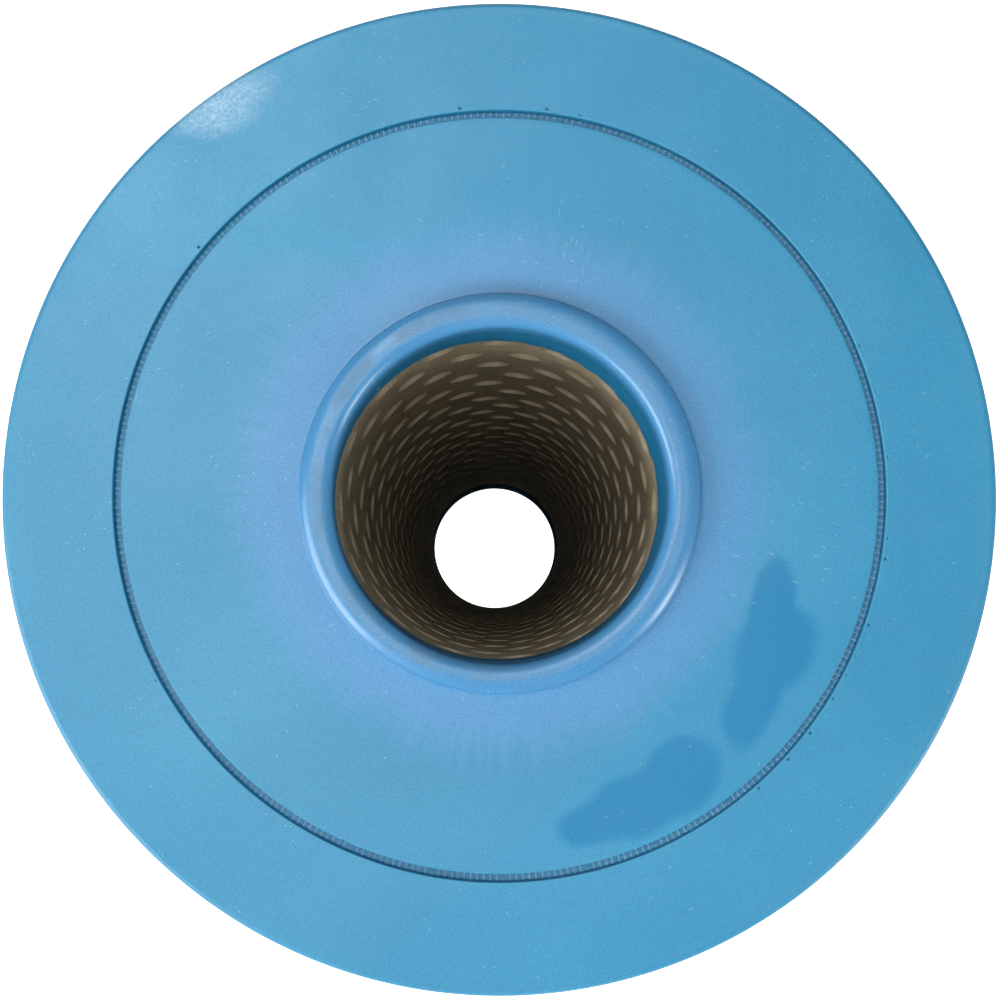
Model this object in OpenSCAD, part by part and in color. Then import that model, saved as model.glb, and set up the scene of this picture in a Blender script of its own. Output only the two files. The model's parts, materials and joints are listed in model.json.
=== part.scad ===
// Pleated filter cartridge: two cast end caps hold a pleated fabric pack round a perforated core
// tube. The axis is Z, the bottom sealing bead stands on Z = 0, and both ends are open.

/* [Overall] */
// Length over the two sealing beads
total_len = 603; // [400:1:800]
// Outside diameter of the end caps
cap_d = 227; // [200:1:260]
// Diameter of the open bore at each end
bore_d = 76.2; // [70:0.1:82]

/* [End caps] */
// Cast thickness over the ends of the pleats
cover_t = 2.5; // [2:0.5:6]
// How far the cast runs down between the pleats
embed = 10; // [4:1:15]
// Radial gap from the pleat tips to the cap's outer edge
rim_w = 2.5; // [1.5:0.5:5]
// Rounding of the cap's outer edge
edge_r = 1.5; // [0.5:0.5:1.5]
// Thickness of the cast skin inside the core tube
skin_t = 0.9; // [0.6:0.1:2]
// How far the skin reaches into the core, from the flat of the cap
skin_len = 16; // [10:1:30]

/* [Sealing bead] */
// Height of the bead above the flat of the cap
bead_h = 4; // [4:0.5:8]
// Width of the bead from the bore to its outer edge
bead_w = 6.9; // [6:0.1:8]
// Width of the flat land on the bead's crest
land_w = 1.1; // [0.9:0.1:3]
// Share of the rest of the width that the bore side's rounding takes
inner_share = 0.45; // [0.45:0.05:0.55]

/* [Locating groove] */
// Middle diameter of the groove
groove_d = 174.4; // [150:0.2:190]
// Width of the groove
groove_w = 1.8; // [1:0.1:4]

/* [Core tube] */
// Wall thickness of the core tube
core_wall = 2.5; // [1.5:0.1:4]
// Diameter of the round openings
hole_d = 9; // [6:0.5:12]
// Openings in one turn of the helix
holes_per_turn = 15.54; // [10:0.01:16]
// Rise of the helix in one turn
helix_pitch = 18.8; // [14:0.1:30]
// Angle of the first opening, anticlockwise from +X
first_hole_angle = 8.6; // [0:0.1:359]
// Depth of the first opening's centre, below the flat of the top cap
first_hole_depth = 16; // [12:1:40]

/* [Filter pack] */
// Number of pleats
pleats = 186; // [60:1:200]
// Thickness of the filter fabric
fabric_t = 0.5; // [0.3:0.05:0.6]
// Gap between the core tube and the inner folds
core_gap = 0.5; // [0.3:0.1:2]
// Half width of a fold at the pleat tips
tip_half_w = 1.1; // [0.8:0.1:1.4]

/* [Bands] */
// Number of bands round the pleats
bands = 5; // [3:1:7]
// Width of a band
band_w = 13; // [8:1:25]
// Thickness of a band
band_t = 0.8; // [0.5:0.1:1.5]
// Length of the overlap where a band's ends are welded
band_lap = 30; // [15:1:60]

/* [Hidden] */
$fn = 96;
cap_r = cap_d / 2;
bore_r = bore_d / 2;
flat_z = total_len - bead_h;
groove_r = groove_d / 2;
core_ir = bore_r + skin_t;
core_or = core_ir + core_wall;
pleat_ir = core_or + core_gap;
pleat_or = cap_r - rim_w;
pack_z = bead_h + cover_t;
pack_len = total_len - 2 * pack_z;
inner_r = inner_share * (bead_w - land_w);
outer_r = bead_w - land_w - inner_r;
pleat_step = 360 / pleats;
tip_a = asin(tip_half_w / pleat_or);
tip_in_a = asin((tip_half_w - fabric_t) / (pleat_or - fabric_t));
fold_in_a = asin(fabric_t / pleat_ir);
fold_z_r = pleat_ir + fabric_t;
hole_rise = helix_pitch / holes_per_turn;
hole_span = flat_z - bead_h - 2 * first_hole_depth;
holes = floor(hole_span / hole_rise);
cut = 1;
seam_t = 0.7;
seam_depth = 14;
seam_a = pleat_step / 2;
seam_gap = 0.3;
band_pitch = pack_len / (bands + 1);
lap_a = band_lap / (pleat_or + band_t) * 180 / PI;
cap_color = [0.33, 0.62, 0.78];
core_color = [0.42, 0.38, 0.32];
fabric_color = [0.93, 0.94, 0.94];
band_color = [0.86, 0.88, 0.9];
seam_color = [0.8, 0.84, 0.88];

function polar(r, a) = [r * cos(a), r * sin(a)];

// Outer face of the folded fabric: two corners at each tip and one point in each valley
function outer_face() = [
    for (i = [0 : pleats - 1], k = [0 : 2])
        k == 0 ? polar(pleat_or, i * pleat_step - tip_a)
        : k == 1 ? polar(pleat_or, i * pleat_step + tip_a)
        : polar(fold_z_r, (i + 0.5) * pleat_step)
];

// Inner face of the folded fabric, one fabric thickness behind the outer face
function inner_face() = [
    for (i = [0 : pleats - 1], k = [0 : 3])
        k == 0 ? polar(pleat_or - fabric_t, i * pleat_step - tip_in_a)
        : k == 1 ? polar(pleat_or - fabric_t, i * pleat_step + tip_in_a)
        : k == 2 ? polar(pleat_ir, (i + 0.5) * pleat_step - fold_in_a)
        : polar(pleat_ir, (i + 0.5) * pleat_step + fold_in_a)
];

module pleat_outline() {
    difference() {
        polygon(outer_face());
        polygon(inner_face());
    }
}

module seam_outline() {
    rotate(seam_a)
        translate([pleat_or - seam_depth, -seam_t / 2])
            square([seam_depth - seam_gap, seam_t]);
}

// Half section of the sealing bead, standing on the flat of the cap
module bead_section() {
    translate([bore_r, 0])
        square([bead_w - outer_r, bead_h - inner_r]);
    translate([bore_r + inner_r, 0])
        square([land_w, bead_h]);
    translate([bore_r + inner_r + land_w, 0])
        square([outer_r, bead_h - outer_r]);
    translate([bore_r + inner_r, bead_h - inner_r])
        circle(inner_r);
    translate([bore_r + inner_r + land_w, bead_h - outer_r])
        circle(outer_r);
}

// Half section of the cap over the pack: cover, rounded outer edge, skin and bead, with the
// locating groove cut through to the ends of the pleats
module cap_section() {
    difference() {
        union() {
            translate([bore_r, -cover_t])
                square([cap_r - edge_r - bore_r, cover_t]);
            translate([cap_r - edge_r, -cover_t])
                square([edge_r, cover_t - edge_r]);
            translate([cap_r - edge_r, -edge_r])
                circle(edge_r);
            translate([bore_r, -skin_len])
                square([skin_t, skin_len]);
            bead_section();
        }
        translate([groove_r - groove_w / 2, -cover_t - cut])
            square([groove_w, cover_t + 2 * cut]);
    }
}

// Cast material that fills the space between the pleats
module cast_between_pleats() {
    linear_extrude(embed)
        difference() {
            circle(cap_r);
            circle(core_or);
            pleat_outline();
            seam_outline();
        }
}

// A whole cap, with its flat at Z = 0 and the pack below
module end_cap() {
    rotate_extrude()
        cap_section();
    translate([0, 0, -cover_t - embed])
        cast_between_pleats();
}

module top_cap() {
    color(cap_color)
        translate([0, 0, flat_z])
            end_cap();
}

module bottom_cap() {
    color(cap_color)
        translate([0, 0, bead_h])
            mirror([0, 0, 1])
                end_cap();
}

// Tube with round openings on one right-handed helix
module core_tube() {
    color(core_color)
        difference() {
            translate([0, 0, pack_z])
                cylinder(h = pack_len, r = core_or);
            translate([0, 0, pack_z - cut])
                cylinder(h = pack_len + 2 * cut, r = core_ir);
            for (i = [0 : holes - 1])
                rotate(first_hole_angle - i * 360 / holes_per_turn)
                    translate([core_ir - cut, 0, flat_z - first_hole_depth - i * hole_rise])
                        rotate([0, 90, 0])
                            cylinder(h = core_wall + 2 * cut, d = hole_d);
        }
}

module filter_media() {
    color(fabric_color)
        translate([0, 0, pack_z])
            linear_extrude(pack_len)
                pleat_outline();
}

// Fin where the two ends of the fabric are welded together
module media_seam() {
    color(seam_color)
        translate([0, 0, pack_z])
            linear_extrude(pack_len)
                seam_outline();
}

// One band round the pleat tips, with its welded overlap
module band(n) {
    color(band_color)
        translate([0, 0, pack_z + n * band_pitch - band_w / 2]) {
            difference() {
                cylinder(h = band_w, r = pleat_or + band_t);
                translate([0, 0, -cut])
                    cylinder(h = band_w + 2 * cut, r = pleat_or);
            }
            rotate_extrude(angle = lap_a)
                translate([pleat_or, 0])
                    square([2 * band_t, band_w]);
        }
}

module band_1() band(1);
module band_2() band(2);
module band_3() band(3);
module band_4() band(4);
module band_5() band(5);

top_cap();
bottom_cap();
core_tube();
filter_media();
media_seam();
band_1();
band_2();
band_3();
band_4();
band_5();
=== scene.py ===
import json
import math

import bpy
import numpy as np
from mathutils import Matrix, Vector


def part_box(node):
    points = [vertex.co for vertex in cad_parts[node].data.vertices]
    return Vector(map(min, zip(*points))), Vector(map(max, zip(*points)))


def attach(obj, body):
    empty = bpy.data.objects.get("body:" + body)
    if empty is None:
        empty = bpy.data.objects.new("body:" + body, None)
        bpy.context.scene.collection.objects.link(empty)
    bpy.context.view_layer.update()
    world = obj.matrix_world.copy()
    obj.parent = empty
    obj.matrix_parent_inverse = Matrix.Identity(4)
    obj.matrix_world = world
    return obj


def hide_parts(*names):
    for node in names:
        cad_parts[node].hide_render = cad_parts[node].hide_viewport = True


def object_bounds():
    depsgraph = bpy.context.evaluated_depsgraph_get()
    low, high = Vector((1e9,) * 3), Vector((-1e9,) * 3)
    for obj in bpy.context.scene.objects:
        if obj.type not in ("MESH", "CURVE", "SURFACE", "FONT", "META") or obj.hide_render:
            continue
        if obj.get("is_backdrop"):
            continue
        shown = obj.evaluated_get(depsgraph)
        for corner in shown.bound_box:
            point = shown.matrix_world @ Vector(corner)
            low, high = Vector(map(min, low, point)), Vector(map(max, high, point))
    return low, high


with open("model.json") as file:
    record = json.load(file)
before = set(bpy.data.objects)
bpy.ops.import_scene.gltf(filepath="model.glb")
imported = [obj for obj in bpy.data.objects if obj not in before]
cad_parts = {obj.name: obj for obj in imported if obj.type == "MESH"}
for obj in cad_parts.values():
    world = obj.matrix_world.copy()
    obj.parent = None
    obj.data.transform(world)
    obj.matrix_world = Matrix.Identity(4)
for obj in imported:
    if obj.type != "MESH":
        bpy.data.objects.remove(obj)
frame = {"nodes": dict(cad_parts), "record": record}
cad_low, cad_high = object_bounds()

# ---------------------------------------------------------------------------------------------
# Sizes, in metres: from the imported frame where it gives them, and the casting's own small radii
# ---------------------------------------------------------------------------------------------
MM = 0.001
MOUNTS = {m["name"]: m for m in frame["record"]["mounts"]}
CAP_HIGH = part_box("top_cap")[1]
PACK_LOW, PACK_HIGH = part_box("filter_media")
CORE_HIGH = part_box("core_tube")[1]
BAND_LOW, BAND_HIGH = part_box("band_1")
SEAM_LOW, SEAM_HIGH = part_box("media_seam")

TOP_Z = CAP_HIGH.z
CAP_R = round(CAP_HIGH.y, 4)
BORE_R = MOUNTS["top_port"]["dims"]["r_mm"] * MM
BEAD_H = 4.0 * MM
FLAT_Z = TOP_Z - BEAD_H
COVER_T = FLAT_Z - PACK_HIGH.z
SKIN_LEN = 16.0 * MM
CAP_DEPTH = 12.5 * MM
INNER_SHOULDER = 2.8 * MM
OUTER_SHOULDER = 5.0 * MM
SHOULDER_END = 48
CORNER_R = 1.0 * MM
CORNER_END = 12
FOOT_R = 0.6 * MM
BEAD_W = 7.3 * MM
EDGE_R = 1.5 * MM
GROOVE_IN, GROOVE_OUT = 86.3 * MM, 88.1 * MM
CORE_IR, CORE_OR = 39.0 * MM, CORE_HIGH.y
PLEAT_IR = CORE_OR + 0.5 * MM
PLEAT_OR = 111.0 * MM
PLEATS = 186
FABRIC_T = 0.5 * MM
BANDS = 5
BAND_T = 0.8 * MM
BAND_W = BAND_HIGH.z - BAND_LOW.z
PACK_LEN = PACK_HIGH.z - PACK_LOW.z
TAU = 2 * math.pi
STEP = TAU / PLEATS


def srgb(r, g, b):
    """A colour given as 0 to 255 screen values, as linear RGBA."""
    def linear(c):
        c = c / 255
        return c / 12.92 if c <= 0.04045 else ((c + 0.055) / 1.055) ** 2.4
    return (linear(r), linear(g), linear(b), 1.0)


def smooth(x, low, high):
    """0 below low, 1 above high, and a smooth curve between."""
    t = np.clip((x - low) / (high - low), 0, 1)
    return t * t * (3 - 2 * t)


def waves(angle, seed, orders, size):
    """A smooth periodic wobble round the axis: a few sine waves with seeded phases."""
    rng = np.random.default_rng(seed)
    total = np.zeros_like(angle)
    for order in orders:
        total += rng.uniform(0.5, 1.0) * np.sin(order * angle + rng.uniform(0, TAU))
    return size * total / math.sqrt(len(orders))


# ---------------------------------------------------------------------------------------------
# Mesh building
# ---------------------------------------------------------------------------------------------
def new_piece(name, verts, faces, material, slot, *nodes):
    """A smooth-shaded mesh piece that rides on the body and stands for the CAD nodes named."""
    mesh = bpy.data.meshes.new(name)
    mesh.from_pydata(verts.tolist() if hasattr(verts, "tolist") else verts, [], faces)
    mesh.update()
    mesh.shade_smooth()
    piece = bpy.data.objects.new(name, mesh)
    bpy.context.scene.collection.objects.link(piece)
    mesh.materials.append(material)
    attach(piece, "root")
    if nodes:
        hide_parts(*nodes)
    return piece


def circle_of(radius, z, angle):
    return np.stack([radius * np.cos(angle), radius * np.sin(angle), z], axis=1)


def rings_to_mesh(rings, closed):
    """Joins rings of points into one surface.

    A ring has as many points as the one before it, twice as many or half as many.
    """
    start = np.cumsum([0] + [len(r) for r in rings])
    faces = []
    pairs = len(rings) if closed else len(rings) - 1
    for i in range(pairs):
        k = (i + 1) % len(rings)
        n, m = len(rings[i]), len(rings[k])
        a, b = int(start[i]), int(start[k])
        if n == m:
            for j in range(n):
                j2 = (j + 1) % n
                faces.append((a + j, a + j2, b + j2, b + j))
        elif m == 2 * n:
            for j in range(n):
                j2 = (j + 1) % n
                faces.append((a + j, a + j2, b + (2 * j + 2) % m, b + 2 * j + 1, b + 2 * j))
        else:
            for j in range(m):
                j2 = (j + 1) % m
                faces.append((a + 2 * j, a + 2 * j + 1, a + (2 * j + 2) % n, b + j2, b + j))
    return np.concatenate(rings), faces


def run_to_mesh(sections):
    """Joins an open run of sections into one solid, closed at both ends."""
    verts, faces = rings_to_mesh(sections, False)
    size = len(sections[0])
    faces.append(tuple(range(size - 1, -1, -1)))
    faces.append(tuple(range(len(verts) - size, len(verts))))
    return verts, faces


def line(start, end, count):
    """Points from start towards end, without the end."""
    t = np.arange(count) / count
    return [(start[0] + (end[0] - start[0]) * u, start[1] + (end[1] - start[1]) * u) for u in t]


def arc(centre, radius, start_deg, end_deg, count):
    """Points along an arc in the (r, z) half plane, both ends included."""
    angles = np.radians(np.linspace(start_deg, end_deg, count))
    return [(centre[0] + radius * math.cos(t), centre[1] + radius * math.sin(t)) for t in angles]


# ---------------------------------------------------------------------------------------------
# End caps: one casting each, with bead, groove, pinholes and the skin inside the core
# ---------------------------------------------------------------------------------------------
CAP_COUNT = 720
LIP_R = 0.25 * MM
SKIN_R = CORE_IR - 0.02 * MM
SKIN_LIP = 0.42 * MM
SKIN_LEFT = 0.12 * MM
GROOVE_FLOOR = COVER_T + 0.06 * MM
FOOT_EDGE = 0.6 * MM
PINHOLE_R = 0.3 * MM
PINHOLE_DEPTH = 0.45 * MM
# How far the bead, the bore and the bore's deep end of this casting sit off the axis
BEAD_OFF, BORE_OFF, DEEP_OFF = 0.45 * MM, 0.65 * MM, 0.4 * MM
# The skin is even down to the first depth, and its end rises and falls by the other sizes
SKIN_EVEN = 4 * MM
SKIN_SHORT, SKIN_ACROSS, SKIN_UP = 3.0 * MM, 3.3 * MM, 1.5 * MM
SKIN_WAVE, DRIP_WAVE, SKIN_SWELL = 0.25 * MM, 1.0 * MM, 0.05 * MM
DRIP_CLOCK = math.radians(48)
# Small swells of the bead, the face, the groove's floor and the underside
BEAD_WAVE, BEAD_SWELL = 0.06 * MM, 0.05 * MM
FACE_SINK, FACE_WAVE = 0.05 * MM, 0.03 * MM
FLOOR_WAVE, CREEP_WAVE = 0.07 * MM, 0.35 * MM
# Clock angles of the trapped-air pinholes by the groove's outer lip, in degrees, and their size
PINHOLES = (
    (7, 1.3), (12, 1.0), (23, 0.6), (40, 0.7), (53, 0.6), (60, 0.7), (68, 1.1), (72, 0.7),
    (75, 0.9), (79, 0.7), (81, 0.6), (85, 1.0), (92, 0.6), (95, 0.8), (97, 1.0), (100, 1.4),
    (110, 1.4), (115, 0.8), (118, 1.0), (122, 1.1), (128, 1.5), (133, 1.4), (136, 0.6), (139, 1.3),
    (143, 0.7), (241, 0.9), (309, 1.3), (354, 1.4),
)


def cap_profile():
    """The cap's closed section as (r, z, points round) with z = 0 at the flat and the pack below."""
    out = []

    def add(points, count=CAP_COUNT):
        out.extend((r, z, count) for r, z in points)

    turn, end = math.radians(SHOULDER_END), math.radians(CORNER_END)
    inner = (BORE_R + INNER_SHOULDER, BEAD_H - INNER_SHOULDER)
    corner_x = BORE_R + BEAD_W - CORNER_R * math.cos(end)
    outer_x = corner_x - (OUTER_SHOULDER - CORNER_R) * math.cos(turn)
    outer = (outer_x, BEAD_H - OUTER_SHOULDER)
    corner = (corner_x, outer[1] + (OUTER_SHOULDER - CORNER_R) * math.sin(turn))
    foot = (BORE_R + BEAD_W + FOOT_R, FOOT_R)
    add([(SKIN_R, -SKIN_LEN + 0.1 * MM)])
    add(arc((BORE_R + SKIN_LIP, -SKIN_LEN + SKIN_LIP), SKIN_LIP, -90, -180, 6))
    add(line((BORE_R, -SKIN_LEN + 2 * SKIN_LIP), (BORE_R, inner[1]), 22))
    add(arc(inner, INNER_SHOULDER, 180, 90, 18))
    add(arc(outer, OUTER_SHOULDER, 90, SHOULDER_END, 16)[:-1])
    add(arc(corner, CORNER_R, SHOULDER_END, CORNER_END, 8))
    add(arc(foot, FOOT_R, 180, 270, 9))
    add(line((foot[0] + 0.4 * FOOT_R, 0), (GROOVE_IN - LIP_R, 0), 44))
    add(arc((GROOVE_IN - LIP_R, -LIP_R), LIP_R, 90, 0, 5))
    add(line((GROOVE_IN, -2 * LIP_R), (GROOVE_IN, -GROOVE_FLOOR), 6))
    add(line((GROOVE_IN, -GROOVE_FLOOR), (GROOVE_OUT, -GROOVE_FLOOR), 4))
    add(line((GROOVE_OUT, -GROOVE_FLOOR), (GROOVE_OUT, -LIP_R), 6))
    add(arc((GROOVE_OUT + LIP_R, -LIP_R), LIP_R, 180, 90, 5), 2 * CAP_COUNT)
    add(line((GROOVE_OUT + 1.2 * LIP_R, 0), (GROOVE_OUT + 1.6 * MM, 0), 14), 4 * CAP_COUNT)
    add([(GROOVE_OUT + 1.9 * MM, 0)], 2 * CAP_COUNT)
    add(line((GROOVE_OUT + 2.4 * MM, 0), (CAP_R - EDGE_R, 0), 26))
    add(arc((CAP_R - EDGE_R, -EDGE_R), EDGE_R, 90, 0, 9))
    add(line((CAP_R, -EDGE_R - FOOT_EDGE), (CAP_R, -CAP_DEPTH + FOOT_EDGE), 12))
    add(arc((CAP_R - FOOT_EDGE, -CAP_DEPTH + FOOT_EDGE), FOOT_EDGE, 0, -90, 6))
    add(line((CAP_R - 1.0 * MM, -CAP_DEPTH), (PLEAT_OR + 0.4 * MM, -CAP_DEPTH), 3))
    add(line((PLEAT_OR + 0.2 * MM, -CAP_DEPTH), (CORE_OR, -CAP_DEPTH), 60))
    add([(CORE_OR, -CAP_DEPTH), (CORE_OR, -COVER_T), (SKIN_R, -COVER_T)])
    return out


def off_centre(r, z):
    """How far the bead and bore of this casting sit off the axis at a point of its section."""
    bead = smooth(np.array(r), BORE_R + BEAD_W + 4 * MM, BORE_R + BEAD_W)
    bore = smooth(np.array(r), BORE_R + 0.8 * BEAD_W, BORE_R + 0.3 * BEAD_W)
    deep = smooth(np.array(-z), 0, SKIN_LEN) * bore
    return np.array((-DEEP_OFF * deep, -BEAD_OFF * bead - BORE_OFF * bore - DEEP_OFF * deep))


def shape_ring(r, z, angle, seed, pinholes):
    """One ring of the casting, with its small irregularities."""
    radius, height = np.full_like(angle, r), np.full_like(angle, z)
    clock = np.pi / 2 - angle
    if r < CORE_IR + 0.1 * MM and z < -SKIN_EVEN:
        # the skin ends in an uneven edge, lowest and most scalloped on the upper right
        quarter = smooth(np.cos(clock - DRIP_CLOCK), 0.25, 0.9)
        uneven = waves(angle, seed, (2, 3, 5), SKIN_WAVE)
        uneven += (0.25 + quarter) * waves(angle, seed + 1, (19, 31, 47), DRIP_WAVE)
        uneven += SKIN_ACROSS * np.sin(clock) + SKIN_UP * np.cos(clock) - SKIN_SHORT
        height -= uneven * (-z - SKIN_EVEN) / (SKIN_LEN - SKIN_EVEN)
        swelling = smooth(-z, SKIN_EVEN, 3 * SKIN_EVEN)
        radius += waves(angle, seed + 2, (3, 7, 11), SKIN_SWELL) * swelling
    elif r < BORE_R + BEAD_W + 1 * MM and z > 0.3 * MM:
        height += waves(angle, seed + 3, (2, 4, 7, 13), BEAD_WAVE) * (z / BEAD_H)
        height = np.minimum(height, BEAD_H)
        radius += waves(angle, seed + 4, (3, 5, 9), BEAD_SWELL)
        radius = np.maximum(radius, BORE_R)
    elif BORE_R + BEAD_W < r < CAP_R - EDGE_R and z > -0.3 * MM:
        # the poured face sinks and swells by a few hundredths of a millimetre
        height -= FACE_SINK + waves(angle, seed + 5, (1, 2, 3), FACE_WAVE)
    elif z < -GROOVE_FLOOR + 0.1 * MM and GROOVE_IN < r < GROOVE_OUT:
        height += waves(angle, seed + 6, (61, 93, 171), FLOOR_WAVE)
    elif r < PLEAT_OR and z < -CAP_DEPTH + 0.1 * MM:
        # the cast creeps up each pleat a little, so its underside is uneven
        height += waves(angle, seed + 7, (PLEATS, 2 * PLEATS // 3, 37), CREEP_WAVE)
        height = np.maximum(height, -CAP_DEPTH)
    if pinholes and GROOVE_OUT < r < GROOVE_OUT + 1.7 * MM:
        for degrees, size in PINHOLES:
            off = (clock - math.radians(degrees) + np.pi) % TAU - np.pi
            centre = GROOVE_OUT + (0.45 + 0.3 * size) * MM
            away = np.hypot(off * r, r - centre) / (PINHOLE_R * size)
            height -= PINHOLE_DEPTH * size * (1 - smooth(away, 0.35, 1.0))
    ring = circle_of(radius, height, angle)
    if r < SKIN_R or z > -0.3 * MM:
        ring[:, :2] += off_centre(r, z)
    if z < -COVER_T and r < SKIN_R:
        # however far off centre the bore is, a little skin is left in front of the tube
        across = np.hypot(ring[:, 0], ring[:, 1])
        ring[:, :2] *= (np.minimum(across, SKIN_R - SKIN_LEFT) / across)[:, None]
    return ring


def cap_mesh(name, node, face_z, up, seed, pinholes, material):
    rings = []
    for r, z, count in cap_profile():
        angle = np.arange(count) * TAU / count
        ring = shape_ring(r, z, angle, seed, pinholes)
        ring[:, 2] = face_z + up * ring[:, 2]
        rings.append(ring)
    verts, faces = rings_to_mesh(rings, True)
    if up > 0:
        faces = [f[::-1] for f in faces]
    return new_piece(name, verts, faces, material, "end_cap", node)


# ---------------------------------------------------------------------------------------------
# Filter pack: one folded sheet, its seam fin and the bands
# ---------------------------------------------------------------------------------------------
TIP_R = 0.85 * MM
FOLD_R = 0.3 * MM
PACK_LEVELS = 41
SWAY = 0.3 * MM
TIP_SCATTER = 0.12 * MM
LEG_BOW = 0.05 * MM
SEAM_IN, SEAM_OUT = 97.0 * MM, 110.7 * MM
SEAM_HALF = 0.3 * MM
SEAM_LEVELS = 780
WELD_IN, WELD_OUT = 103 * MM, 105 * MM
CRIMP, CRIMP_PITCH = 0.09 * MM, 3.2 * MM
STRAP_DRIFT, STRAP_DIP = 0.35 * MM, 0.10 * MM
LAP_LEN, LAP_COLUMNS = 30 * MM, 91
LAP_SKEW = 0.25 * MM
DIMPLE, DIMPLE_PITCH = 0.16 * MM, 3.0 * MM


def fold_line(rng):
    """The middle of the folded sheet: points, normals, freedom to sway, and each point's pleat."""
    points, free, pleat = [], [], []
    for i in range(PLEATS):
        axis = i * STEP
        tip = PLEAT_OR - FABRIC_T / 2 - abs(rng.normal(0, TIP_SCATTER))
        half = math.sin(STEP / 2) * (PLEAT_IR + FABRIC_T)
        inner = PLEAT_IR + FABRIC_T / 2 + FOLD_R
        local = []
        for side in (-1, 1):
            leg = [
                (tip - TIP_R + TIP_R * math.cos(t), side * TIP_R * math.sin(t))
                for t in np.radians((90, 50, 15))
            ]
            for u in (0.25, 0.5, 0.75):
                bow = rng.normal(0, LEG_BOW)
                leg.insert(0, (
                    tip - TIP_R + (inner - tip + TIP_R) * u,
                    side * (TIP_R + (half - FOLD_R - TIP_R) * u) + bow,
                ))
            leg.insert(0, (inner, side * (half - FOLD_R)))
            leg.insert(0, (inner - 0.7 * FOLD_R, side * (half - 0.3 * FOLD_R)))
            local += leg if side < 0 else leg[::-1]
        for x, y in local:
            points.append((
                x * math.cos(axis) - y * math.sin(axis),
                x * math.sin(axis) + y * math.cos(axis),
            ))
            free.append(max(0.0, (x - inner) / (tip - inner)) ** 1.5)
            pleat.append(i)
    points = np.array(points)
    ahead = np.roll(points, -1, axis=0) - points
    behind = points - np.roll(points, 1, axis=0)
    along = ahead / np.linalg.norm(ahead, axis=1)[:, None]
    along += behind / np.linalg.norm(behind, axis=1)[:, None]
    along /= np.linalg.norm(along, axis=1)[:, None]
    normal = np.stack([along[:, 1], -along[:, 0]], axis=1)
    return points, normal, np.array(free), np.array(pleat)


def held_factor(z):
    """0 where a cap or band holds the pleats and 1 half way between two of them."""
    pitch = PACK_LEN / (BANDS + 1)
    return abs(math.sin(math.pi * (z - PACK_LOW.z) / pitch)) ** 0.8


def pleated_pack(material):
    rng = np.random.default_rng(11)
    points, normal, free, pleat = fold_line(rng)
    levels = np.linspace(PACK_LOW.z, PACK_HIGH.z, PACK_LEVELS)
    phase = rng.uniform(0, TAU, (2, PLEATS))
    size = rng.normal(0, 1, (2, PLEATS))
    tangent = np.stack([-points[:, 1], points[:, 0]], axis=1)
    tangent /= np.linalg.norm(tangent, axis=1)[:, None]
    outer, inner = [], []
    for z in levels:
        sway = size[0] * np.sin(9 * (z - PACK_LOW.z) + phase[0])
        sway += size[1] * np.sin(31 * (z - PACK_LOW.z) + phase[1])
        shift = (SWAY * held_factor(z) * sway[pleat] * free)[:, None] * tangent
        level = np.full((len(points), 1), z)
        outer.append(np.hstack([points + shift + normal * FABRIC_T / 2, level]))
        inner.append(np.hstack([points + shift - normal * FABRIC_T / 2, level]))
    verts, faces = rings_to_mesh(outer + inner[::-1], True)
    piece = new_piece("pleated_sheet", verts, faces, material, "filter_fabric", "filter_media")
    return piece


def seam_fin(material):
    """The welded fin of the sheet's two ends, crimped across, in the gap between two pleats."""
    angle = STEP / 2
    across = np.linspace(SEAM_IN, SEAM_OUT, 9)
    section = [(r, -SEAM_HALF) for r in across] + [(r, SEAM_HALF) for r in across[::-1]]
    rings = []
    for z in np.linspace(SEAM_LOW.z, SEAM_HIGH.z, SEAM_LEVELS):
        crimp = CRIMP * math.sin(TAU * z / CRIMP_PITCH)
        ring = []
        for r, y in section:
            weld = smooth(np.array(r), WELD_IN, WELD_OUT)
            y = y * (1 - 0.35 * weld) + crimp * weld
            ring.append((r * math.cos(angle) - y * math.sin(angle),
                         r * math.sin(angle) + y * math.cos(angle), z))
        rings.append(np.array(ring))
    verts, faces = run_to_mesh(rings)
    return new_piece("seam_fin", verts, faces, material, "seam", "media_seam")


def strap_section(inner_r, thick, width, count):
    """A flat strap's closed section, thin in r and wide in z, with rounded edges."""
    edge = thick / 2
    half = width / 2
    z = np.linspace(-half + edge, half - edge, count)
    out = [(inner_r + thick, v) for v in z[::-1]]
    out += [(inner_r + edge + edge * math.cos(t), -half + edge + edge * math.sin(t))
            for t in np.radians((-30, -60, -90, -120, -150))]
    out += [(inner_r, v) for v in z]
    out += [(inner_r + edge + edge * math.cos(t), half - edge + edge * math.sin(t))
            for t in np.radians((150, 120, 90, 60, 30))]
    return out


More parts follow.
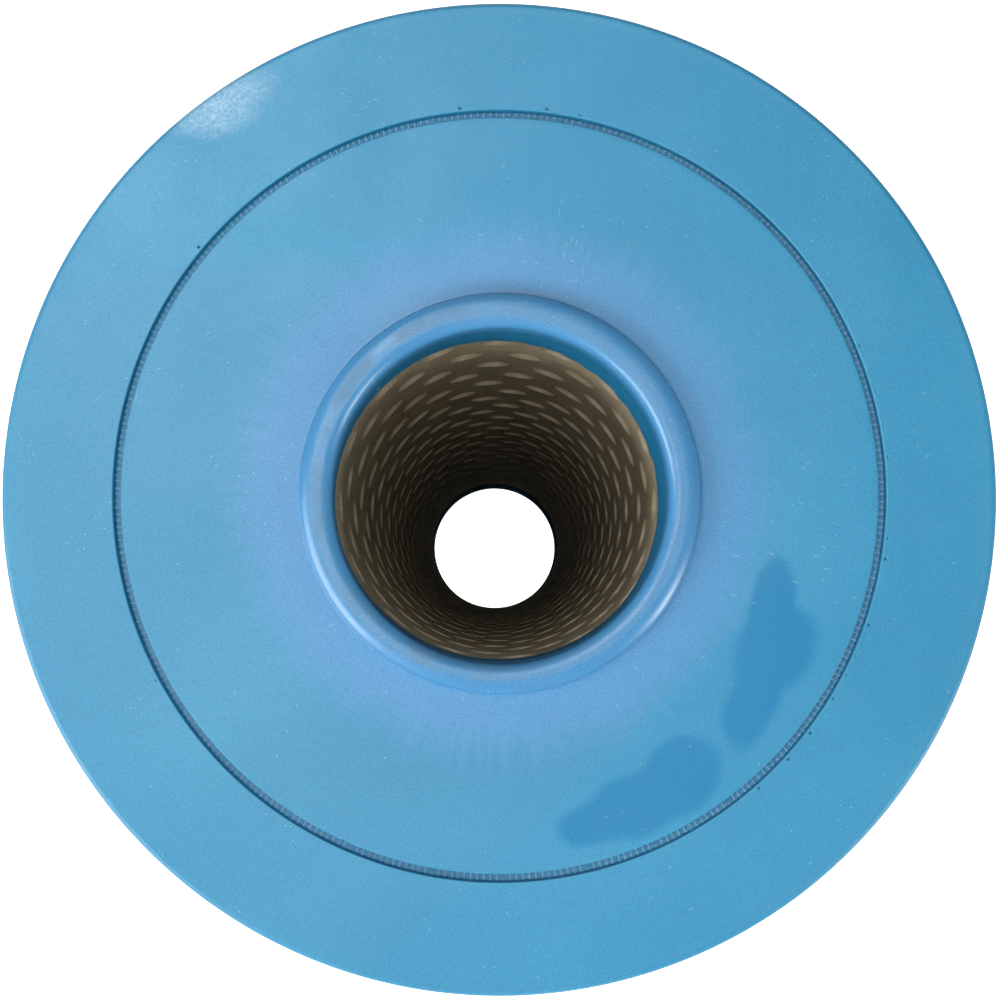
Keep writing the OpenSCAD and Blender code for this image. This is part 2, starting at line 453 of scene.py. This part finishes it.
def strap(name, node, middle_z, seed, material):
    """A band round the pleat tips with its overlapped and welded end, as one piece of two solids."""
    count = PLEATS * 6
    angle = np.arange(count) * TAU / count
    dip = STRAP_DIP * (1 - np.cos(PLEATS * angle)) / 2
    drift = waves(angle, seed, (1, 2, 3), STRAP_DRIFT)
    rings = []
    for r, z in strap_section(PLEAT_OR - 0.02 * MM, BAND_T, BAND_W - 1.0 * MM, 9):
        rings.append(circle_of(np.full(count, r) - dip, middle_z + z + drift, angle))
    verts, faces = rings_to_mesh(rings, True)

    # the overlapping end: an open run of sections, closed at both ends, with weld dimples
    laps = []
    lap_width = BAND_W - 1.3 * MM
    seat_r = PLEAT_OR + BAND_T
    base = strap_section(seat_r - 0.06 * MM, BAND_T * 0.92, lap_width, 25)
    for along in np.linspace(0.0, LAP_LEN, LAP_COLUMNS):
        a = along / PLEAT_OR
        taper = 0.35 + 0.65 * smooth(np.array(min(along, LAP_LEN - along)), 0.0, 0.6 * MM)
        welded = 1.5 * MM < along < LAP_LEN - 3 * MM
        row = []
        for r, z in base:
            pressed = 0.0
            if welded and r > seat_r + 0.2 * BAND_T and abs(z) < 0.4 * lap_width:
                cell = math.cos(TAU * along / DIMPLE_PITCH) * math.cos(TAU * z / DIMPLE_PITCH)
                pressed = DIMPLE * max(0.0, cell)
            radius = seat_r + (r - seat_r) * taper - pressed
            height = middle_z + z + LAP_SKEW * along / LAP_LEN + float(np.interp(a, angle, drift))
            row.append((radius * math.cos(a), radius * math.sin(a), height))
        laps.append(np.array(row))
    lap_verts, lap_faces = run_to_mesh(laps)
    faces += [tuple(len(verts) + i for i in f) for f in lap_faces]
    return new_piece(name, np.concatenate([verts, lap_verts]), faces, material, "band", node)


# ---------------------------------------------------------------------------------------------
# Materials
# ---------------------------------------------------------------------------------------------
PATCH_WARP = 6 * MM


class Shader:
    """A material being built, with short calls for the nodes that it needs."""

    def __init__(self, name):
        self.material = bpy.data.materials.new(name)
        self.material.use_nodes = True
        self.tree = self.material.node_tree
        self.surface = self.tree.nodes["Principled BSDF"]
        coords = self.tree.nodes.new("ShaderNodeTexCoord")
        self.place = coords.outputs["Object"]
        split = self.node("ShaderNodeSeparateXYZ", Vector=self.place)
        self.x, self.y, self.z = split.outputs
        self.radius = self.math("POWER", self.math(
            "ADD", self.math("MULTIPLY", self.x, self.x), self.math("MULTIPLY", self.y, self.y)), 0.5)
        self.angle = self.math("ARCTAN2", self.y, self.x)

    def node(self, kind, settings=None, **inputs):
        made = self.tree.nodes.new(kind)
        for key, value in (settings or {}).items():
            setattr(made, key, value)
        for key, value in inputs.items():
            self.put(made.inputs[key.replace("_", " ")], value)
        return made

    def put(self, socket, value):
        if isinstance(value, bpy.types.NodeSocket):
            self.tree.links.new(value, socket)
        else:
            socket.default_value = value

    def math(self, operation, a, b=0.0):
        made = self.tree.nodes.new("ShaderNodeMath")
        made.operation = operation
        self.put(made.inputs[0], a)
        self.put(made.inputs[1], b)
        return made.outputs[0]

    def step(self, value, low, high, to_low=0.0, to_high=1.0):
        made = self.node("ShaderNodeMapRange", {"interpolation_type": "SMOOTHSTEP"})
        for i, v in enumerate((value, low, high, to_low, to_high)):
            self.put(made.inputs[i], v)
        return made.outputs[0]

    def noise(self, scale, detail=2.0, rough=0.5, vector=None, distort=0.0):
        made = self.node("ShaderNodeTexNoise", Vector=vector or self.place, Scale=scale,
                         Detail=detail, Roughness=rough, Distortion=distort)
        return made.outputs[0]

    def stretch(self, x, y, z, turn_deg=0.0):
        """The place, turned round the axis and then with each axis scaled."""
        turned = self.node("ShaderNodeMapping", Vector=self.place,
                           Rotation=(0, 0, math.radians(turn_deg)))
        made = self.node("ShaderNodeMapping", Vector=turned.outputs[0], Scale=(x, y, z))
        return made.outputs[0]

    def specks(self, vector, size, keep_scale, keep_from):
        """Small spots scattered over the place, in drifts."""
        cells = self.node("ShaderNodeTexVoronoi", {"feature": "F1"}, Vector=vector, Scale=1.0)
        spots = self.step(cells.outputs["Distance"], size, 0.5 * size)
        keep = self.step(self.noise(keep_scale, 2.0, 0.6), keep_from, keep_from + 0.05)
        return self.math("MULTIPLY", spots, keep)

    def polar(self, round_scale, out_scale, up_scale):
        """Coordinates that run round the axis, out from it and up."""
        made = self.node("ShaderNodeCombineXYZ", X=self.math("MULTIPLY", self.angle, round_scale),
                         Y=self.math("MULTIPLY", self.radius, out_scale),
                         Z=self.math("MULTIPLY", self.z, up_scale))
        return made.outputs[0]

    def mix(self, factor, a, b):
        made = self.tree.nodes.new("ShaderNodeMix")
        made.data_type = "RGBA"
        self.put(made.inputs[0], factor)
        self.put(made.inputs[6], a)
        self.put(made.inputs[7], b)
        return made.outputs[2]

    def patch(self, x, y, turn_deg, long_r, short_r, ragged, soft=0.2):
        """1 inside a ragged oval patch at (x, y), 0 outside it, and a soft edge between."""
        warp = self.node("ShaderNodeTexNoise", Vector=self.place, Scale=48.0, Detail=2.0)
        pull = self.node("ShaderNodeVectorMath", {"operation": "MULTIPLY_ADD"})
        self.put(pull.inputs[0], warp.outputs["Color"])
        self.put(pull.inputs[1], (PATCH_WARP, PATCH_WARP, 0.0))
        self.put(pull.inputs[2], self.place)
        moved = self.node("ShaderNodeMapping", {"vector_type": "TEXTURE"}, Vector=pull.outputs[0],
                          Location=(x + PATCH_WARP / 2, y + PATCH_WARP / 2, FLAT_Z),
                          Rotation=(0, 0, math.radians(turn_deg)),
                          Scale=(long_r, short_r, 1.0))
        far = self.node("ShaderNodeVectorMath", {"operation": "LENGTH"})
        self.put(far.inputs[0], moved.outputs[0])
        rough = self.math("MULTIPLY", self.math("SUBTRACT", self.noise(90, 3.0, 0.6), 0.5), ragged)
        return self.step(self.math("ADD", far.outputs["Value"], rough), 1 + soft, 1 - soft)

    def bump(self, height, distance, strength=1.0, below=None):
        made = self.node("ShaderNodeBump", Strength=strength, Distance=distance, Height=height)
        if below is not None:
            self.put(made.inputs["Normal"], below)
        return made.outputs[0]

    def finish(self, colour, roughness, normal, **values):
        self.put(self.surface.inputs["Base Color"], colour)
        self.put(self.surface.inputs["Roughness"], roughness)
        self.put(self.surface.inputs["Normal"], normal)
        for key, value in values.items():
            self.surface.inputs[key.replace("_", " ")].default_value = value
        return self.material


# Cap colours
FACE_LIGHT = srgb(47, 132, 168)
FACE_DEEP = srgb(38, 125, 162)
HALO_BLUE = srgb(66, 130, 177)
STAIN_BLUE = srgb(4, 112, 156)
SCUFF_PALE = srgb(160, 190, 210)
BEAD_BLUE = srgb(62, 122, 166)
DUST_PALE = srgb(195, 215, 228)
WORN_GREY = srgb(84, 120, 148)
# painted shade: the deep teal that the skin down the bore is mixed towards
BORE_SHADE_TEAL = srgb(8, 104, 140)
GRAIN_DARK, GRAIN_LIGHT = srgb(216, 229, 236), srgb(255, 255, 255)
# Colours of the tube, the fabric, the bands and the seam
TUBE_DARK, TUBE_LIGHT, TUBE_DRAWN = srgb(158, 146, 122), srgb(176, 165, 140), srgb(142, 122, 102)
FABRIC_DARK, FABRIC_LIGHT, FIBRE_PALE = srgb(208, 211, 210), srgb(226, 228, 227), srgb(240, 241, 240)
WICKED_BLUE = srgb(90, 143, 184)
STRAP_DARK, STRAP_LIGHT, STRAP_GAPS = srgb(214, 219, 222), srgb(234, 237, 238), srgb(186, 194, 200)
FIN_LOOSE, FIN_GLAZED, FIN_FIBRE = srgb(234, 236, 235), srgb(206, 214, 219), srgb(250, 250, 250)
STRAP_R = 0.1117

# Directions of the scratches, in degrees, each with the scale of the drifts they lie in
HAIRS = ((25, 31), (98, 37), (150, 43))

# Darker patches of resin on the poured face: middle x and y, turn in degrees, long and short
# half width
STAINS = (
    (0.0616, -0.0270, 80, 0.0115, 0.0052),
    (0.0614, -0.0368, 50, 0.0112, 0.0090),
    (0.0580, -0.0465, 68, 0.0128, 0.0062),
    (0.0400, -0.0645, 42, 0.0105, 0.0076),
    (0.0305, -0.0705, 30, 0.0128, 0.0072),
    (0.0220, -0.0745, 20, 0.0088, 0.0046),
)


def cap_material(name, stained):
    """Cast blue resin: fine matte grain, a paler halo round the glossy bead, faint blotches, and
    painted shade on the skin down the bore.
    """
    s = Shader(name)
    blotch = s.step(s.noise(14, 3.0, 0.55), 0.35, 0.68)
    colour = s.mix(blotch, FACE_DEEP, FACE_LIGHT)
    streak = s.noise(1.0, 3.0, 0.6, s.polar(34, 25, 0))
    wander = s.math("MULTIPLY", s.math("SUBTRACT", streak, 0.5), 0.016)
    halo = s.step(s.math("ADD", s.radius, wander), 0.0655, 0.0525)
    on_face = s.step(s.radius, BORE_R + BEAD_W + 0.2 * MM, BORE_R + BEAD_W + 0.9 * MM)
    colour = s.mix(s.math("MULTIPLY", halo, 0.85), colour, HALO_BLUE)
    if stained:
        stain = 0.0
        for spot in STAINS:
            stain = s.math("MAXIMUM", stain, s.patch(*spot, 0.2))
        colour = s.mix(s.math("MULTIPLY", stain, 0.95), colour, STAIN_BLUE)
        scratch = s.step(s.noise(1300, 3.0, 0.7), 0.3, 0.75, 0.3, 0.75)
        scuff = s.math("MULTIPLY", s.patch(-0.0635, 0.0893, 28, 0.0078, 0.0046, 1.6, 0.95), scratch)
        colour = s.mix(scuff, colour, SCUFF_PALE)
    bead = s.math("SUBTRACT", 1.0, on_face)
    colour = s.mix(s.math("MULTIPLY", bead, 0.6), colour, BEAD_BLUE)
    crest = s.math("SUBTRACT", s.radius, BORE_R + 0.45 * BEAD_W)
    land = s.step(s.math("ABSOLUTE", crest), 2.0 * MM, 1.0 * MM)
    wear = s.step(s.noise(70, 4.0, 0.7, s.stretch(1.0, 1.0, 0.0)), 0.36, 0.58)
    side = s.step(s.x, 0.02, -0.02, 0.35, 1.0)
    worn = s.math("MULTIPLY", s.math("MULTIPLY", land, wear), side)
    colour = s.mix(s.math("MULTIPLY", worn, 0.7), colour, WORN_GREY)
    # painted shade: down the bore the skin is mixed towards deep teal, more the deeper it lies below
    # the face, standing in for the shade inside the bore
    inside = s.step(s.radius, CORE_IR + 0.5 * MM, CORE_IR - 0.3 * MM)
    depth = s.math("SUBTRACT", FLAT_Z - 1 * MM, s.z)
    bore_painted_shade = s.math("MULTIPLY", inside, s.step(depth, 0.0, 2 * MM))
    colour = s.mix(s.math("MULTIPLY", bore_painted_shade, 0.8), colour, BORE_SHADE_TEAL)
    grain = s.noise(2600, 2.0, 0.6)
    fine = s.mix(s.step(grain, 0.3, 0.7), GRAIN_DARK, GRAIN_LIGHT)
    grained = s.node("ShaderNodeMix", {"data_type": "RGBA", "blend_type": "MULTIPLY"})
    s.put(grained.inputs[0], 1.0)
    s.put(grained.inputs[6], colour)
    s.put(grained.inputs[7], fine)
    colour = grained.outputs[2]
    dust = s.specks(s.stretch(520, 520, 520), 0.08, 45, 0.54)
    colour = s.mix(s.math("MULTIPLY", dust, 0.55), colour, DUST_PALE)
    for turn_deg, keep_scale in HAIRS:
        hair = s.specks(s.stretch(110, 1100, 20, turn_deg), 0.11, keep_scale, 0.62)
        colour = s.mix(s.math("MULTIPLY", hair, 0.25), colour, DUST_PALE)
    rough = s.step(s.noise(40, 3.0, 0.6), 0.3, 0.7, 0.43, 0.52)
    rough = s.math("SUBTRACT", rough, s.math("MULTIPLY", bead, 0.16))
    rough = s.math("ADD", rough, s.math("MULTIPLY", worn, 0.28))
    if stained:
        rough = s.math("SUBTRACT", rough, s.math("MULTIPLY", stain, 0.07))
    swell = s.bump(s.noise(55, 2.0, 0.5), 0.0006, 0.25)
    skin = s.math("MULTIPLY", grain, s.step(bead, 0.0, 1.0, 1.0, 0.25))
    normal = s.bump(skin, 0.00006, 0.6, swell)
    return s.finish(colour, rough, normal, Specular_IOR_Level=0.58)


def core_material():
    """Moulded brown-grey tube, a little mottled, with a dull satin face."""
    s = Shader("core_plastic")
    mottle = s.noise(60, 4.0, 0.6)
    colour = s.mix(s.step(mottle, 0.3, 0.7), TUBE_DARK, TUBE_LIGHT)
    drawn = s.noise(1.0, 3.0, 0.6, s.polar(40, 0, 6))
    colour = s.mix(s.step(drawn, 0.4, 0.75, 0.0, 0.35), colour, TUBE_DRAWN)
    rough = s.step(s.noise(200, 2.0, 0.5), 0.3, 0.7, 0.42, 0.6)
    normal = s.bump(s.noise(900, 3.0, 0.6), 0.00008, 0.5)
    normal = s.bump(drawn, 0.0002, 0.3, normal)
    return s.finish(colour, rough, normal, Specular_IOR_Level=0.4)


def fabric_material():
    """Spun-bonded polyester: a web of fine fibres, a little clouded, blue where resin wicked in."""
    s = Shader("filter_fabric")
    cloud = s.noise(70, 3.0, 0.6)
    colour = s.mix(s.step(cloud, 0.35, 0.7), FABRIC_DARK, FABRIC_LIGHT)
    fibre_a = s.noise(1500, 3.0, 0.7, s.stretch(1.0, 1.0, 0.16), 1.2)
    fibre_b = s.noise(900, 3.0, 0.7, s.stretch(1.0, 1.0, 0.45), 2.5)
    fibres = s.math("ADD", fibre_a, fibre_b)
    colour = s.mix(s.step(fibres, 0.75, 1.2, 0.0, 0.35), colour, FIBRE_PALE)
    middle = (PACK_LOW.z + PACK_HIGH.z) / 2
    along = s.math("ABSOLUTE", s.math("SUBTRACT", s.z, middle))
    reach = PACK_LEN / 2 - (CAP_DEPTH - COVER_T)
    wick = s.math("MULTIPLY", s.math("SUBTRACT", s.noise(260, 3.0, 0.6), 0.5), 0.005)
    soaked = s.step(s.math("ADD", along, wick), reach - 0.4 * MM, reach + 1.6 * MM)
    colour = s.mix(s.math("MULTIPLY", soaked, 0.92), colour, WICKED_BLUE)
    rough = s.step(cloud, 0.3, 0.7, 0.78, 0.92)
    normal = s.bump(fibres, 0.00012, 0.7)
    return s.finish(colour, rough, normal, Specular_IOR_Level=0.25, Sheen_Weight=0.25,
                    Sheen_Roughness=0.5)


def band_material():
    """Flat woven polyester strap: fine ribs along it, with a slightly glazed face."""
    s = Shader("band_strap")
    ribs = s.node("ShaderNodeTexWave", {"wave_type": "BANDS", "bands_direction": "Z",
                                        "wave_profile": "SIN"},
                  Vector=s.place, Scale=420.0, Distortion=0.6, Detail=1.0)
    picks = s.node("ShaderNodeTexWave", {"wave_type": "BANDS", "bands_direction": "X",
                                         "wave_profile": "SIN"},
                   Vector=s.polar(STRAP_R, 0, 0), Scale=420.0, Distortion=0.4, Detail=1.0)
    weave = s.math("MULTIPLY", ribs.outputs["Fac"], picks.outputs["Fac"])
    cloud = s.noise(90, 3.0, 0.6)
    colour = s.mix(s.step(cloud, 0.35, 0.7), STRAP_DARK, STRAP_LIGHT)
    colour = s.mix(s.step(weave, 0.2, 0.7, 0.25, 0.0), colour, STRAP_GAPS)
    rough = s.step(cloud, 0.3, 0.7, 0.5, 0.66)
    normal = s.bump(weave, 0.00012, 0.8)
    return s.finish(colour, rough, normal, Specular_IOR_Level=0.4)


def seam_material():
    """Heat-welded fin: glazed where the weld pressed it."""
    s = Shader("seam_weld")
    weld = s.step(s.radius, WELD_IN, WELD_OUT)
    fibre = s.noise(1200, 3.0, 0.7, s.stretch(1.0, 1.0, 0.3), 1.0)
    colour = s.mix(weld, FIN_LOOSE, FIN_GLAZED)
    colour = s.mix(s.step(fibre, 0.4, 0.7, 0.0, 0.25), colour, FIN_FIBRE)
    rough = s.step(weld, 0.0, 1.0, 0.85, 0.42)
    normal = s.bump(fibre, 0.0001, 0.5)
    return s.finish(colour, rough, normal, Specular_IOR_Level=0.35)


# ---------------------------------------------------------------------------------------------
# The object
# ---------------------------------------------------------------------------------------------
cap_mesh("top_cap_cast", "top_cap", FLAT_Z, 1, 21, True, cap_material("cap_resin_top", True))
cap_mesh("bottom_cap_cast", "bottom_cap", BEAD_H, -1, 57, False,
         cap_material("cap_resin_bottom", False))

core = frame["nodes"]["core_tube"]
core.data.materials.clear()
core.data.materials.append(core_material())
core.data.shade_smooth()

pleated_pack(fabric_material())
seam_fin(seam_material())
strap_look = band_material()
for n in range(1, BANDS + 1):
    low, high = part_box(f"band_{n}")
    strap(f"strap_{n}", f"band_{n}", (low.z + high.z) / 2, 30 + n, strap_look)


# ---------------------------------------------------------------------------------------------
# Stage, lights and camera
# ---------------------------------------------------------------------------------------------
STAGE_COUNT = 96
STAGE_R = 4.0
STAGE_TOP = 4.0
STAGE_HOLE_R = 0.1 * MM
WHITE = (1, 1, 1, 1)
DAYLIGHT = (1.0, 0.99, 0.97)
SKYLIGHT = (0.97, 0.985, 1.0)


def stage_piece(name, ends, material):
    """A ring-shaped stage surface between two circles, each given as a radius and a height."""
    angle = np.arange(STAGE_COUNT) * TAU / STAGE_COUNT
    rings = [circle_of(np.full(STAGE_COUNT, r), np.full(STAGE_COUNT, z), angle) for r, z in ends]
    verts, faces = rings_to_mesh(rings, False)
    mesh = bpy.data.meshes.new(name)
    mesh.from_pydata(verts.tolist(), [], [f[::-1] for f in faces])
    mesh.materials.append(material)
    ring = bpy.data.objects.new(name, mesh)
    bpy.context.scene.collection.objects.link(ring)
    ring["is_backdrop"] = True
    return ring


def floor_material():
    """White paper, lit a little from below so that it reads as plain white."""
    s = Shader("floor_paper")
    s.surface.inputs["Emission Color"].default_value = WHITE
    s.surface.inputs["Emission Strength"].default_value = 0.72
    cloud = s.noise(3.0, 3.0, 0.5)
    colour = s.mix(cloud, srgb(246, 246, 246), srgb(250, 250, 250))
    return s.finish(colour, s.step(cloud, 0.3, 0.7, 0.8, 0.9), s.bump(cloud, 0.001, 0.1))


def glow_material(name, strength, base=WHITE, glow=WHITE):
    """A plain surface that shows its own even light."""
    material = bpy.data.materials.new(name)
    material.use_nodes = True
    surface = material.node_tree.nodes["Principled BSDF"]
    surface.inputs["Base Color"].default_value = base
    surface.inputs["Emission Color"].default_value = glow
    surface.inputs["Emission Strength"].default_value = strength
    return material


# The floor has an opening under the bore. Behind it are a glow that only the camera sees, so that
# the far hole reads white, and a dark disc, so that hardly any light comes up the tube. The dark
# disc gives off a faint warm glow of its own, painted light that dimly lights the deep end of the
# tube. The backdrop too is for the camera only.
opening = BORE_R + 2 * MM
floor_z = cad_low.z - 0.2 * MM
stage_piece("floor", ((opening, floor_z), (STAGE_R, floor_z)), floor_material())
shade_z = floor_z - 4 * MM
# painted light: this dark disc's faint warm glow dimly lights the deep end of the tube
stage_piece("floor_shade", ((STAGE_HOLE_R, shade_z), (3 * opening, shade_z)),
            glow_material("floor_shade", 0.03, (0.01, 0.01, 0.01, 1), (1, 0.95, 0.8, 1)))
glow_z = floor_z - 3 * MM
glow = stage_piece("floor_glow", ((STAGE_HOLE_R, glow_z), (2 * opening, glow_z)),
                   glow_material("floor_glow", 1.5))
backdrop = stage_piece("backdrop", ((STAGE_R, floor_z), (STAGE_R, STAGE_TOP)),
                       glow_material("backdrop", 0.95))
for paper in (glow, backdrop):
    paper.visible_diffuse = False
    paper.visible_glossy = False
    paper.visible_shadow = False


def area_light(name, spot, target, size, power, colour):
    """A rectangular light at spot that faces target."""
    data = bpy.data.lights.new(name, "AREA")
    data.shape = "RECTANGLE"
    data.size, data.size_y = size
    data.energy = power
    data.color = colour
    lamp = bpy.data.objects.new(name, data)
    lamp.location = spot
    lamp.rotation_mode = "QUATERNION"
    lamp.rotation_quaternion = (Vector(target) - Vector(spot)).to_track_quat("-Z", "Y")
    bpy.context.scene.collection.objects.link(lamp)
    return lamp


face_centre = (0, 0, FLAT_Z)
area_light("window_left", (-1.05, -0.50, FLAT_Z + 0.54), face_centre, (1.0, 0.6), 18, DAYLIGHT)
sheen = area_light("sheen_left", (-0.36, 0.42, FLAT_Z + 1.05), face_centre,
                   (0.6, 0.6), 6.5, (1.0, 0.99, 0.98))
sheen.visible_diffuse = False
area_light("strip_right", (0.95, -0.55, FLAT_Z + 0.28), face_centre, (0.12, 0.5), 6.5, DAYLIGHT)
front = area_light("front_soft", (-0.055, -0.035, FLAT_Z + 0.50), face_centre,
                   (0.34, 0.34), 2.1, DAYLIGHT)
front.visible_glossy = False
mouth = area_light("mouth_soft", (-0.15, -0.75, FLAT_Z + 0.55), face_centre,
                   (0.9, 0.3), 3, DAYLIGHT)
mouth.visible_glossy = False
side_centre = (0, 0, 0.3)
area_light("fill_front", (0.3, -2.2, 0.45), side_centre, (1.6, 0.8), 6, SKYLIGHT)
area_light("fill_back", (-0.3, 2.2, 0.45), side_centre, (1.6, 0.8), 4, SKYLIGHT)

world = bpy.data.worlds.new("studio")
world.use_nodes = True
world.node_tree.nodes["Background"].inputs["Color"].default_value = (*SKYLIGHT, 1)
world.node_tree.nodes["Background"].inputs["Strength"].default_value = 0.26
bpy.context.scene.world = world
bpy.context.scene.view_settings.view_transform = "Standard"

camera_data = bpy.data.cameras.new("camera")
camera_data.sensor_width = 36.0
camera_data.lens = 52.1
camera_data.clip_start = 0.01
camera = bpy.data.objects.new("camera", camera_data)
place = Vector((-0.002, -0.0198, FLAT_Z + 0.3287))
turn = Matrix.Rotation(-0.0059, 4, "Y") @ Matrix.Rotation(0.0536, 4, "X")
camera.matrix_world = Matrix.Translation(place) @ turn
bpy.context.scene.collection.objects.link(camera)
bpy.context.scene.camera = camera

low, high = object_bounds()
